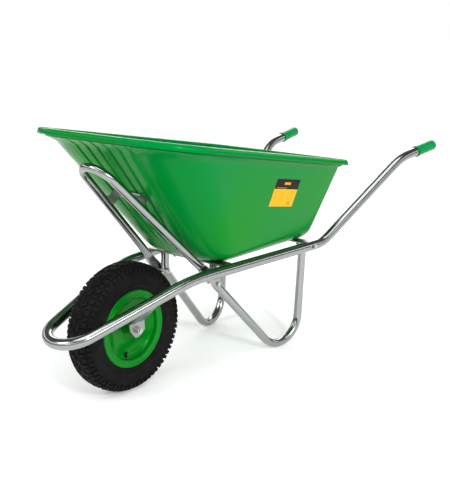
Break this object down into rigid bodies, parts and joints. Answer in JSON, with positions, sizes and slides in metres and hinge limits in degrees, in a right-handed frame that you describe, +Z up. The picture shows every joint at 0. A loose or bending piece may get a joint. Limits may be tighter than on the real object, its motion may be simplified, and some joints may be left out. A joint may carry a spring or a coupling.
{
  "type": "wheelbarrow",
  "caption": "Wheelbarrow with a deep moulded tray, bent tube frame looping round an air-filled wheel, looped tube legs, a tray support hoop and cylindrical grips.",
  "frame": {"origin": "middle of the bounding box in plan, on the floor that the tyre and both legs stand on", "axes": "+X forwards from the grips to the wheel, +Y to the left hand of the person pushing, +Z up"},
  "size_m": [1.6139, 0.6834, 0.7966],
  "materials": {
    "frame_zinc": "zinc-plated tube, satin",
    "bright_zinc": "bright zinc-plated tube and plate",
    "fasteners": "zinc-plated bolts, nuts and washers",
    "bearing_steel": "ground bearing steel",
    "tray_green": "smooth glossy moulded plastic",
    "grip_green": "smooth glossy plastic",
    "rim_green": "glossy paint over pressed steel",
    "label": "printed film, plain bars of colour",
    "tyre": "matt black rubber with block tread",
    "tube_rubber": "matt black rubber",
    "valve_plastic": "black plastic"
  },
  "bodies": {
    "frame": {"frame_tube": "frame_zinc", "grip_left": "grip_green", "grip_right": "grip_green", "leg_left": "bright_zinc", "leg_right": "bright_zinc", "leg_bolts": "fasteners", "leg_washers": "fasteners", "leg_nuts": "fasteners", "support_hoop": "bright_zinc", "hoop_strap": "bright_zinc", "hoop_bolts": "fasteners", "hoop_nuts": "fasteners", "strap_bolts": "fasteners", "strap_washers": "fasteners", "strap_nuts": "fasteners", "front_crossbar": "bright_zinc", "rear_crossbar": "bright_zinc", "tray": "tray_green", "tray_bolts": "fasteners", "tray_washers": "fasteners", "tray_nuts": "fasteners", "tray_label": "label", "axle_bracket_left": "bright_zinc", "axle_bracket_right": "bright_zinc", "axle_bolt": "fasteners", "axle_washers": "fasteners", "axle_nut": "fasteners", "axle_spacers": "bearing_steel", "axle_sleeve": "bearing_steel", "bearing_inner_rings": "bearing_steel"},
    "wheel": {"bearing_outer_rings": "bearing_steel", "bearing_balls": "bearing_steel", "hub_tube": "rim_green", "rim_half_left": "rim_green", "rim_half_right": "rim_green", "tyre": "tyre", "inner_tube": "tube_rubber", "valve_stem": "tube_rubber", "valve_cap": "valve_plastic"}
  },
  "joints": [
    {"name": "wheel_spin", "type": "hinge", "parent": "frame", "child": "wheel", "pos_m": [0.5242, 0, 0.2], "axis": [0, 1, 0], "continuous": true}
  ]
}
